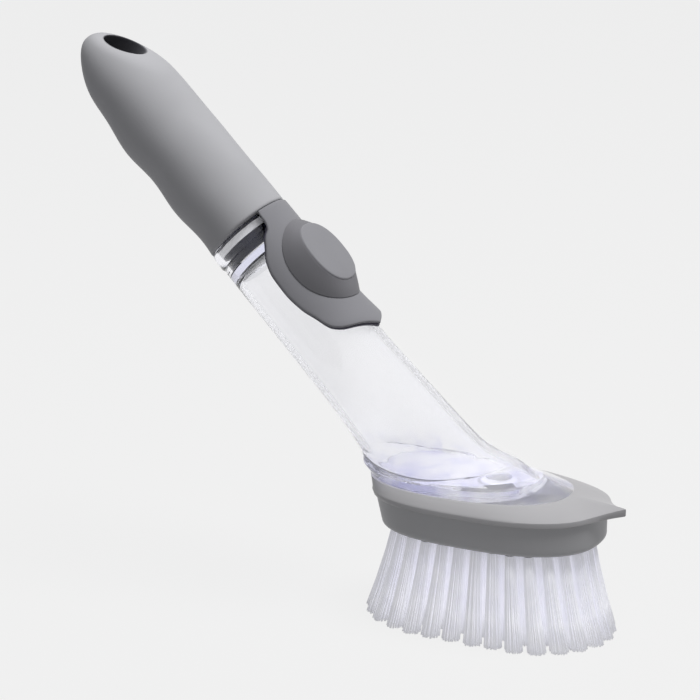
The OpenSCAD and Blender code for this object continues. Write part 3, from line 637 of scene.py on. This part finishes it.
def skin_keys(inset, wall):
    """Rings of the foot and the tube: front and rear points, half width, powers and drop of each."""
    extra = FLARE_EXTRA - wall

    def front(low, high, share, rise):
        x, z = between(low, high, share)
        return (x, z + rise)

    def rear(share):
        return between(HEEL_TOP, BLEND_REAR, share)

    return [
        foot_key(BAND_FRONT, HEEL_TOP, FOOT_HALF_W - 0.9, TOE_POWER, FOOT_POWER, 2, inset),
        foot_key(front(BAND_FRONT, SHOULDER_FRONT, 0.45, 0.9), rear(0.12),
                 FOOT_HALF_W - 2.2, TOE_POWER, FOOT_POWER, 3.4, inset),
        foot_key(front(BAND_FRONT, SHOULDER_FRONT, 0.95, 0.1), rear(0.3),
                 FOOT_HALF_W - 4.4, 2, 2.2, 4.4, inset),
        foot_key(front(SHOULDER_FRONT, BLEND_FRONT, 0.4, -0.9), rear(0.5),
                 FOOT_HALF_W - 5.4, 2, 2.1, 3, inset),
        foot_key(BLEND_FRONT, rear(0.8), TUBE_R_LOW + 0.3, 2, 2, 2, inset),
        tube_key(FLARE_AT, tube_r(FLARE_AT) + extra),
        tube_key(FLARE_END, tube_r(FLARE_END) - wall)]


def key_ring(key):
    return tilted_ring(key[0:2], key[2:4], *key[4:])


COLLAR_FLOOR = GRIP_START - COLLAR_LENGTH
COLLAR_R = TUBE_R_HIGH - TUBE_WALL
CAVITY_END = COLLAR_FLOOR - TUBE_WALL
TOE_SLOPE = (SHOULDER_H - BAND_H) / TOE_SETBACK
POCKET_TOE = FOOT_TOE - (BASE_T + FOOT_WALL) / TOE_SLOPE
POCKET_HEEL = FOOT_HEEL - FOOT_WALL
POCKET_HALF_W = FOOT_HALF_W - FOOT_WALL


def pocket_ring(z, inset=0.0):
    return tilted_ring((POCKET_TOE - inset, z), (-POCKET_HEEL + inset, z), POCKET_HALF_W - inset,
                       FOOT_POWER, FOOT_POWER)


def reservoir():
    outer = [tilted_ring((FOOT_TOE, SEAT_Z), (-FOOT_HEEL, SEAT_Z), FOOT_HALF_W, FOOT_POWER, FOOT_POWER)]
    keys = skin_keys(0, 0)
    outer += [key_ring(k) for k in smooth_steps(keys, 8)]
    # Straight tube, a fine step and a raised ring next to the grip
    profile = [(60, 0), (75, 0), (90, 0), (100, 0), (104.6, 0), (105.0, -0.25), (106.3, -0.25), (106.7, 0.12),
               (107.2, 0.3), (111.6, 0.3), (112.3, 0.15), (GRIP_START - FIT_GAP, -0.3)]
    outer += [ring_about_axis(tube_r(s) + step, s) for s, step in profile]
    end = GRIP_START - FIT_GAP
    bore = [ring_about_axis(COLLAR_R + 0.3, end), ring_about_axis(COLLAR_R, end - 0.4),
            ring_about_axis(COLLAR_R, COLLAR_FLOOR + 0.4), ring_about_axis(COLLAR_R - 0.4, COLLAR_FLOOR)]
    floor = [ring_about_axis(COLLAR_R * share, COLLAR_FLOOR) for share in (0.66, 0.33)]
    inner = [pocket_ring(SEAT_Z), pocket_ring(SEAT_Z + BASE_T + FIT_GAP)]
    inner += [key_ring(k) for k in smooth_steps(skin_keys(FOOT_WALL, TUBE_WALL), 8)]
    inner += [ring_about_axis(tube_r(s) - TUBE_WALL, s) for s in (60, 75, 90)]
    for turn in [math.radians(a) for a in range(0, 86, 12)]:
        inner.append(ring_about_axis(COLLAR_R - CAVITY_ROUND * (1 - math.cos(turn)),
                                     CAVITY_END - CAVITY_ROUND * (1 - math.sin(turn))))
    inner += [ring_about_axis(COLLAR_R * share, CAVITY_END) for share in (0.5, 0.25)]
    body = loft("reservoir_shell", inner[::-1] + outer + bore + floor, sharp=28)
    port = stadium_prism("port_cutter", PORT_HALF_L, PORT_HALF_W, PORT_AT, TUBE_R_HIGH / 3, TUBE_R_HIGH * 2)
    cut(body, port, sharp=28)
    return body


def stadium_prism(name, half_l, half_w, at, low, high):
    """A stadium's prism between two heights above the wand's axis."""
    outline = []
    for a in turns(96):
        straight = math.copysign(half_l - half_w, math.cos(a))
        outline.append((straight + half_w * math.cos(a), half_w * math.sin(a)))
    rings = [[wand_point(height, side, at + along) for along, side in outline] for height in (low, high)]
    return loft(name, rings)


# Lid

LID_R = tube_r(TAB_TIP) + RUN_GAP
# Half angle that the lid wraps at places along the wand, from the tab's tip to the grip
LID_WRAP = [(55.5, 0), (58.4, 20), (61.6, 44.5), (64.7, 54.5), (70, 60.5), (76, 67), (83.4, 70),
            (90.6, 69), (96, 64), (101, 53), (103.5, 47), (105.7, 38), (109, 35), (112.7, 35)]


def tab_share(s):
    """How much of the lift tab's rise a place along the lid has."""
    t = min(1.0, max(0.0, (TAB_BACK - s) / TAB_RISE))
    return t * t * (3 - 2 * t)


def lid_half_width(s):
    return math.radians(curve_value(LID_WRAP, s)) * LID_R


def lid_outline(end_at, inset, count=192):
    """Outline of the lid unrolled to (along, across), as seen from the button's middle."""
    steps = 240
    side = [(TAB_TIP + (end_at - TAB_TIP) * (k / steps) ** 1.6, 0) for k in range(steps + 1)]
    side = [(s, lid_half_width(s)) for s, _ in side]
    right = side + [(end_at, side[-1][1] * (1 - k / 12)) for k in range(1, 13)]
    whole = right + [(s, -w) for s, w in right[-2:0:-1]]
    centre = (PORT_AT - 1, 0)
    ring = []
    for a in turns(count):
        direction = (math.cos(a), math.sin(a))
        reach = 0
        for k, p in enumerate(whole):
            q = whole[(k + 1) % len(whole)]
            d = (q[0] - p[0], q[1] - p[1])
            den = direction[0] * d[1] - direction[1] * d[0]
            if abs(den) < 1e-9:
                continue
            e = (p[0] - centre[0], p[1] - centre[1])
            far = (e[0] * d[1] - e[1] * d[0]) / den
            share = (e[0] * direction[1] - e[1] * direction[0]) / den
            if far > 0 and -1e-6 <= share <= 1 + 1e-6:
                reach = max(reach, far)
        ring.append((centre[0] + (reach - inset) * direction[0], centre[1] + (reach - inset) * direction[1]))
    return ring


def hole_outline(count=192):
    """Outline of the button's hole, unrolled like the lid's."""
    ring = []
    for a in turns(count):
        p = se_point(a, PAD_HALF_L + HOLE_GAP, PAD_HALF_W + HOLE_GAP, PAD_POWER)
        # Across the curved lid the hole's width is measured along the arc
        half = math.asin(max(-0.99, min(0.99, p[1] / (LID_R + FRAME_T))))
        ring.append((BUTTON_AT + p[0], half * LID_R))
    return ring


def on_lid(ring, height):
    """An unrolled ring, wrapped round the tube at a height over the lid's underside."""
    points = []
    for s, v in ring:
        r = LID_R + TAB_LIFT * tab_share(s) + height
        points.append(wand_point(r * math.cos(v / LID_R), r * math.sin(v / LID_R), s))
    return points


def lid_layer(name, end_at, low, high, edge, inset):
    """A layer of the lid: rounded outer edge, top, the button's hole and the underside, closed on itself."""
    outer = lid_outline(end_at, inset)
    hole = hole_outline()

    def row(share):
        return [between(p, q, share) for p, q in zip(outer, hole)]

    def inward(distance):
        ring = []
        for p, q in zip(outer, hole):
            length = math.dist(p, q)
            ring.append(between(p, q, min(0.3, distance / length)))
        return ring

    rings = [on_lid(inward(edge * 0.3), low), on_lid(inward(0), low + edge * 0.3)]
    rings += [on_lid(inward(edge * (1 - math.cos(t))), high - edge * (1 - math.sin(t))) for t in
              [math.radians(a) for a in (0, 22, 45, 67, 90)]]
    rings += [on_lid(row(share), high) for share in (0.15, 0.3, 0.45, 0.6, 0.75, 0.9)]
    rings += [on_lid(hole, high - 0.2), on_lid(hole, low)]
    rings += [on_lid(row(share), low) for share in (0.75, 0.5, 0.25)]
    return loft(name, rings, looped=True, sharp=40)


# Button

BUTTON_SIDES = 128
SKIRT_MID = 86.1
SKIRT_HALF_L = 17.3
SKIRT_HALF_W = 14.0
SKIRT_CLEAR = 0.12
SKIRT_SWELL = 0.35
CROWN = 0.12
CROWN_REACH = 11.0


def pad_ring(up, grow):
    """The pad's outline at a height over the wand's axis."""
    outline = [se_point(a, PAD_HALF_L + grow, PAD_HALF_W + grow, PAD_POWER) for a in turns(BUTTON_SIDES)]
    return [wand_point(up, side, BUTTON_AT + along) for along, side in outline]


def button_pad():
    edge = 0.6
    bottom = PAD_TOP - 1.7
    rings = [pad_ring(bottom, -1.2 - share) for share in (6, 3, 0)]
    rings += [pad_ring(bottom, -0.35), pad_ring(bottom + 0.3, -0.3), pad_ring(PAD_TOP - edge, -0.05)]
    rings += [pad_ring(PAD_TOP - edge * (1 - math.sin(t)), 0.02 - edge * (1 - math.cos(t))) for t in
              [math.radians(a) for a in range(0, 91, 15)]]
    # The crowned top, drawn in towards the middle
    rings += [pad_ring(PAD_TOP + CROWN * (1 - (left / CROWN_REACH) ** 2), -edge - (CROWN_REACH - left))
              for left in (9, 6, 3, 1)]
    return loft("button_pad", rings, sharp=45)


def skirt_base(clear, grow=0.0):
    """The button's foot on the lid: an ellipse across the lid, set on the lid's outer surface."""
    ring = []
    for a in turns(BUTTON_SIDES):
        p = se_point(a, SKIRT_HALF_L + grow, SKIRT_HALF_W + grow, PAD_POWER)
        s = SKIRT_MID + p[0]
        r = LID_R + TAB_LIFT * tab_share(s) + FRAME_T + SKIN_T + clear
        ring.append(wand_point(math.sqrt(r * r - p[1] ** 2), p[1], s))
    return ring


def button_skirt():
    """The button's conical wall, a little swollen half way up, with its foot and its inside."""
    base = skirt_base(0.3)
    top = pad_ring(PAD_TOP - 0.55, 0.0)
    up = Vector((math.sin(LEAN), 0, math.cos(LEAN)))
    middle = Vector(wand_point(0, 0, SKIRT_MID))
    wall = []
    for share in (0, 0.08, 0.2, 0.35, 0.5, 0.65, 0.8, 0.92, 1):
        swell = SKIRT_SWELL * math.sin(math.pi * share)
        ring = []
        for p, q in zip(base, top):
            point = Vector(between(p, q, share))
            out = point - middle
            out -= up * out.dot(up)
            ring.append(tuple(point + out.normalized() * swell))
        wall.append(ring)
    inner_top = pad_ring(PAD_TOP - 0.9, -0.2)
    inner_low = [between(p, q, 0.12) for p, q in zip(skirt_base(0.15, -1.5), inner_top)]
    foot = [skirt_base(SKIRT_CLEAR, -0.35), skirt_base(SKIRT_CLEAR, -1.3)]
    rings = foot[::-1] + wall + [pad_ring(PAD_TOP - 0.5, -0.08), inner_top, inner_low]
    return loft("button_wall", rings, looped=True, sharp=45)


# Brush head

LIP_BOTTOM = BRISTLE_L + WALL_H
LIP_TOP = LIP_BOTTOM + LIP_H
SEAT_TOP = SEAT_Z - FIT_GAP
SOCKET_LOW = 44.5
SOAP_HOLE_R = 1.8
HEAD_SIDES = 160


def head_point(a, front, rear, half_w):
    """Point of the head's outline, with a front and a rear fullness of its own."""
    power = FRONT_POWER if math.cos(a) > 0 else REAR_POWER
    x, y = se_point(a, 1, half_w, power)
    return (x * (front if x > 0 else rear), y)


def head_ring(z, inset, share):
    """The block's outline: its heel spreads by a share of the draft."""
    rear = BLOCK_REAR + HEEL_DRAFT * share - inset
    return [(*head_point(a, BLOCK_FRONT - inset, rear, HEAD_HALF_W - inset), z) for a in turns(HEAD_SIDES)]


def deck_ring(z, lift, heel_out, out=0.0):
    """The deck's edge, with the pointed tip that rises by lift."""
    ring = []
    for a in turns(HEAD_SIDES):
        x, y = head_point(a, BLOCK_FRONT + LIP_OUT + out, BLOCK_REAR + HEEL_DRAFT + heel_out + out,
                          HEAD_HALF_W + LIP_OUT + out)
        share = max(0.0, 1 - abs(y) / TIP_HALF_W) ** 2.2 if x > 0 else 0.0
        ring.append((x + TIP_OUT * share, y, z + lift * share))
    return ring


def round_ring(r, z):
    return [(r * math.cos(a), r * math.sin(a), z) for a in turns(HEAD_SIDES)]


def seat_ring(z, out):
    """The outline on the deck where the reservoir's foot sits."""
    return [(p[0], p[1], z) for p in
            tilted_ring((FOOT_TOE + out, z), (-FOOT_HEEL - out, z), FOOT_HALF_W + out,
                        FOOT_POWER, FOOT_POWER, 0, HEAD_SIDES)]


def blend_rings(a, b, share, lift):
    return [(*between(p, q, share)[:2], p[2] + (q[2] - p[2]) * share + lift) for p, q in zip(a, b)]


def deck():
    """The head's cover: socket, seat, sloped apron, lip, and the pocket that takes the block."""
    crest = seat_ring(SEAT_TOP, 0.8)
    lip = deck_ring(LIP_TOP, TIP_RISE, 1.2)
    rings = [round_ring(SPIGOT_R + FIT_GAP, SOCKET_LOW), round_ring(SPIGOT_R + FIT_GAP, SEAT_TOP - 0.5),
             round_ring(SPIGOT_R + FIT_GAP + 0.5, SEAT_TOP), seat_ring(SEAT_TOP, -8), seat_ring(SEAT_TOP, -2),
             crest]
    rings += [blend_rings(crest, lip, share, 0.25 * math.sin(math.pi * share)) for share in
              (0.08, 0.25, 0.45, 0.65, 0.82, 0.93)]
    rings += [deck_ring(LIP_TOP - 0.15, TIP_RISE, 1.2, 0.1),
              deck_ring(LIP_TOP - 0.45, TIP_RISE * 0.95, 1.15, 0.2),
              deck_ring(LIP_BOTTOM + 0.4, TIP_RISE * 0.6, 0.6, 0.15),
              deck_ring(LIP_BOTTOM + 0.1, TIP_RISE * 0.55, 0.6, -0.1),
              deck_ring(LIP_BOTTOM, TIP_RISE * 0.55, 0.6, -0.4)]
    pocket_top = LIP_BOTTOM + RIM_H + FIT_GAP
    rings += [head_ring(LIP_BOTTOM, 1.2, 1), head_ring(pocket_top, 1.25, 1),
              seat_ring(pocket_top, -4), seat_ring(SEAT_TOP - HEAD_WALL, -4.2),
              round_ring(SPIGOT_R + 2.2, SEAT_TOP - HEAD_WALL), round_ring(SPIGOT_R + 2.1, SOCKET_LOW)]
    return loft("deck_shell", rings, looped=True, sharp=32)


def block():
    """The block that holds the tufts: flat bottom, rounded edge, drafted wall and the rim inside the deck."""
    bottom = BRISTLE_L
    top = LIP_BOTTOM - FIT_GAP
    edge = 2.2
    rings = [round_ring(SOAP_HOLE_R, bottom + 6), round_ring(SOAP_HOLE_R, bottom), round_ring(6, bottom),
             round_ring(14, bottom), head_ring(bottom, 6, 0)]
    for degrees in range(0, 91, 15):
        rise = 1 - math.cos(math.radians(degrees))
        inset = edge * (1 - math.sin(math.radians(degrees)))
        rings.append(head_ring(bottom + edge * rise, inset, 0.1 * rise))
    for k in range(1, 7):
        rings.append(head_ring(bottom + edge + (top - bottom - edge) * k / 6, 0, 0.1 + 0.9 * k / 6))
    rings += [head_ring(top, 1.3, 1), head_ring(top + RIM_H - 0.1, 1.35, 1), head_ring(top + RIM_H, 3.6, 1),
              head_ring(bottom + 4.4, 4.2, 0.3), round_ring(14, bottom + 4.4), round_ring(6, bottom + 6)]
    return loft("block_shell", rings, looped=True, sharp=32)


# Bristles

SLICE_EDGE = HEAD_HALF_W - 2
TUFT_STRAIGHT = (BLOCK_FRONT - 3.6 + BLOCK_REAR - 2.5) / 2 - SLICE_EDGE
TUFT_MID = (BLOCK_FRONT - 3.6 - BLOCK_REAR + 2.5) / 2
OUTER_RING = SLICE_EDGE - 2.1
RING_STEP = 7.2
SPLAY_L = 1.24
SPLAY_W = 1.13
TUFT_ROOT_R = 1.65
TUFT_TIP_R = 3.25
FILAMENT_R = 0.2
FILAMENTS = 84
CUT_SPREAD = 0.25
# Each ring's name, its tufts, its place and the seed of its random draws
TUFT_RINGS = (("outer", 30, OUTER_RING, 11), ("middle", 22, OUTER_RING - RING_STEP, 22),
              ("inner", 14, OUTER_RING - 2 * RING_STEP, 33))


def tuft_place(share, r):
    """Place of a tuft on a stadium about the middle of the head."""
    arc = math.pi * r
    straight = 2 * TUFT_STRAIGHT
    way = share * 2 * (arc + straight)
    half = 1 if way < arc + straight else -1
    left = way if half > 0 else way - arc - straight
    a = -math.pi / 2 + math.pi * min(1.0, left / arc)
    along = max(0.0, left - arc)
    x = half * (TUFT_STRAIGHT - along + r * math.cos(a))
    return (x + TUFT_MID, half * r * math.sin(a))


def filament(points, faces, root, tip, bend, r):
    """A filament from its root to its cut tip, bowing outwards a little."""
    first = len(points)
    levels = (0.0, 0.35, 0.7, 1.0)
    for level in levels:
        bow = bend * level * (1 - level) * 4
        centre = [root[k] + (tip[k] - root[k]) * level for k in range(3)]
        centre[0] += (tip[0] - root[0]) * -bow
        centre[1] += (tip[1] - root[1]) * -bow
        for c in ((-1, -1), (1, -1), (1, 1), (-1, 1)):
            points.append((centre[0] + c[0] * r, centre[1] + c[1] * r, centre[2]))
    for k in range(len(levels) - 1):
        low = first + k * 4
        for i in range(4):
            faces.append((low + i, low + (i + 1) % 4, low + 4 + (i + 1) % 4, low + 4 + i))
    faces.append((first + 3, first + 2, first + 1, first))
    last = first + 4 * (len(levels) - 1)
    faces.append((last, last + 1, last + 2, last + 3))


def tufts(name, count, r, seed):
    """A ring of tufts that fan out from the block, each a bundle of filaments on a sunflower spiral."""
    draw = random.Random(seed)
    points, faces = [], []
    golden = math.pi * (3 - math.sqrt(5))
    for i in range(count):
        cx, cy = tuft_place((i + 0.5) / count, r)
        tx, ty = cx * SPLAY_L, cy * SPLAY_W
        lean_x, lean_y = draw.uniform(-0.35, 0.35), draw.uniform(-0.35, 0.35)
        for k in range(FILAMENTS):
            spread = math.sqrt((k + 0.5) / FILAMENTS)
            turn = k * golden + draw.uniform(-0.15, 0.15)
            ox, oy = spread * math.cos(turn), spread * math.sin(turn)
            tip_r = TUFT_TIP_R * (1 + draw.uniform(-0.06, 0.06))
            root = (cx + ox * TUFT_ROOT_R, cy + oy * TUFT_ROOT_R, BRISTLE_L + 0.6)
            tip = (tx + lean_x + ox * tip_r, ty + lean_y + oy * tip_r, draw.uniform(0, CUT_SPREAD))
            filament(points, faces, root, tip, 0.06, FILAMENT_R)
    return make_object(name, points, faces, sharp=180)


def tuft_collars():
    """Raised rims round the tufts' holes in the block's underside."""
    points, faces = [], []
    sides, ring_r, wire = 20, 1.95, 0.22
    for _, count, r, _ in TUFT_RINGS:
        for i in range(count):
            cx, cy = tuft_place((i + 0.5) / count, r)
            first = len(points)
            for a in turns(sides):
                for dr, dz in ((-wire, 0.05), (0, -0.18), (wire, 0.05)):
                    points.append((cx + (ring_r + dr) * math.cos(a), cy + (ring_r + dr) * math.sin(a),
                                   BRISTLE_L + dz))
            for k in range(sides):
                n = (k + 1) % sides
                for j in range(3):
                    m = (j + 1) % 3
                    faces.append((first + 3 * k + j, first + 3 * n + j, first + 3 * n + m, first + 3 * k + m))
    return make_object("collars", points, faces, sharp=60)


# Build the pieces

place(grip(), GRIP_RUBBER, "grip_rubber", "handle", "grip_sleeve")
place(reservoir(), CLEAR, "clear_plastic", "handle", "reservoir")

skin = lid_layer("lid_skin", GRIP_START - FIT_GAP, FRAME_T, FRAME_T + SKIN_T, 0.7, 0.0)
place(skin, LID_RUBBER, "lid_rubber", None, "lid_cover", "hinge_strap")
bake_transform(skin)
under = lid_layer("lid_underframe", LID_BACK, 0.0, FRAME_T - FIT_GAP / 2, 0.25, -0.4)
place(under, FRAME_PLASTIC, "frame_plastic", "lid", "lid_frame")

place(button_pad(), BUTTON_RUBBER, "button_rubber", "button", "pump_button")
wall = button_skirt()
# The wall wears the darker copy of the button's rubber, which is painted shade
place(wall, BUTTON_RUBBER_PAINTED_SHADE, "button_rubber", None, "button_skirt")
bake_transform(wall)

place(deck(), DECK_PLASTIC, "deck_plastic", "head", "head_deck")
place(join("block_shell", [block(), tuft_collars()]), BLOCK_PLASTIC, "block_plastic", "head", "brush_block")
for ring_name, tuft_count, ring_r, ring_seed in TUFT_RINGS:
    place(tufts(f"tufts_{ring_name}", tuft_count, ring_r, ring_seed), BRISTLE, "bristle", "head",
          f"bristles_{ring_name}")

CAD_FINISH = {"handle_core": CORE_PLASTIC, "neck_seal": SILICONE, "reservoir_base": CLOUDY,
              "outlet_valve": SILICONE, "valve_ring": SILICONE, "spigot_seal": SILICONE,
              "lid_plug": FRAME_PLASTIC, "lid_seal": SILICONE}
for node_name, material in CAD_FINISH.items():
    dress(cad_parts[node_name], material)


# Floor, light and camera

BACKDROP = 0.912
BACKDROP_IN_GLASS = 1.0
FLOOR_SHADOW = 0.08
FLOOR_GREY = 0.4
FILL_LIGHT = 0.22
SEEN_RAYS = ("Is Camera Ray", "Is Glossy Ray", "Is Transmission Ray")


def ray_share(tree, *names):
    """1 for rays of the named kinds, 0 for the others."""
    path = tree.nodes.new("ShaderNodeLightPath")
    total = path.outputs[names[0]]
    for name in names[1:]:
        add = tree.nodes.new("ShaderNodeMath")
        add.operation = "MAXIMUM"
        tree.links.new(total, add.inputs[0])
        tree.links.new(path.outputs[name], add.inputs[1])
        total = add.outputs["Value"]
    return total


def backdrop_strength(tree):
    """The backdrop is a clean white through the clear plastic and a shade darker beside it."""
    node = tree.nodes.new("ShaderNodeMapRange")
    node.inputs["To Min"].default_value = BACKDROP
    node.inputs["To Max"].default_value = BACKDROP_IN_GLASS
    tree.links.new(ray_share(tree, "Is Transmission Ray"), node.inputs["Value"])
    return node.outputs["Result"]


def surroundings():
    world = bpy.data.worlds.new("surroundings")
    bpy.context.scene.world = world
    world.use_nodes = True
    tree = world.node_tree
    fill = tree.nodes["Background"]
    fill.inputs["Color"].default_value = (0.94, 0.95, 1.0, 1)
    fill.inputs["Strength"].default_value = FILL_LIGHT
    seen = tree.nodes.new("ShaderNodeBackground")
    tree.links.new(backdrop_strength(tree), seen.inputs["Strength"])
    mix = tree.nodes.new("ShaderNodeMixShader")
    tree.links.new(ray_share(tree, *SEEN_RAYS), mix.inputs["Fac"])
    tree.links.new(fill.outputs["Background"], mix.inputs[1])
    tree.links.new(seen.outputs["Background"], mix.inputs[2])
    tree.links.new(mix.outputs["Shader"], tree.nodes["World Output"].inputs["Surface"])


def floor():
    half = 8.0
    mesh = bpy.data.meshes.new("floor")
    corners = [(-half, -half, 0), (half, -half, 0), (half, half, 0), (-half, half, 0)]
    mesh.from_pydata(corners, [], [(0, 1, 2, 3)])
    obj = bpy.data.objects.new("floor", mesh)
    bpy.context.scene.collection.objects.link(obj)
    material, tree, shader = node_material("pale_floor")
    shader.inputs["Base Color"].default_value = (FLOOR_GREY, FLOOR_GREY, FLOOR_GREY, 1)
    shader.inputs["Roughness"].default_value = 0.9
    shader.inputs["Specular IOR Level"].default_value = 0.0
    glow = tree.nodes.new("ShaderNodeEmission")
    tree.links.new(backdrop_strength(tree), glow.inputs["Strength"])
    share = tree.nodes.new("ShaderNodeMath")
    share.operation = "MULTIPLY"
    share.inputs[1].default_value = 1 - FLOOR_SHADOW
    tree.links.new(ray_share(tree, *SEEN_RAYS), share.inputs[0])
    mix = tree.nodes.new("ShaderNodeMixShader")
    tree.links.new(share.outputs["Value"], mix.inputs["Fac"])
    tree.links.new(shader.outputs["BSDF"], mix.inputs[1])
    tree.links.new(glow.outputs["Emission"], mix.inputs[2])
    tree.links.new(mix.outputs["Shader"], tree.nodes["Material Output"].inputs["Surface"])
    dress(obj, material)


def lamp(name, place_at, aim, size, power):
    data = bpy.data.lights.new(name, "AREA")
    data.shape = "DISK"
    data.size = size
    data.energy = power
    obj = bpy.data.objects.new(name, data)
    bpy.context.scene.collection.objects.link(obj)
    obj.location = Vector(place_at)
    obj.rotation_euler = (Vector(aim) - Vector(place_at)).to_track_quat("-Z", "Y").to_euler()
    obj.visible_glossy = False
    obj.visible_transmission = False
    return obj


def camera():
    data = bpy.data.cameras.new("camera")
    data.sensor_width = 36
    data.lens = 121.41
    data.clip_start = 0.01
    obj = bpy.data.objects.new("camera", data)
    bpy.context.scene.collection.objects.link(obj)
    obj.location = (0.30776, -0.718, 0.31471)
    obj.rotation_euler = (math.radians(74.49), 0, math.radians(27.01))
    bpy.context.scene.camera = obj


surroundings()
floor()
MIDDLE = (-0.05, 0, 0.1)
lamp("key", (0.30, 0.03, 1.28), MIDDLE, 0.7, 17)
camera()
bpy.context.scene.view_settings.view_transform = "Standard"
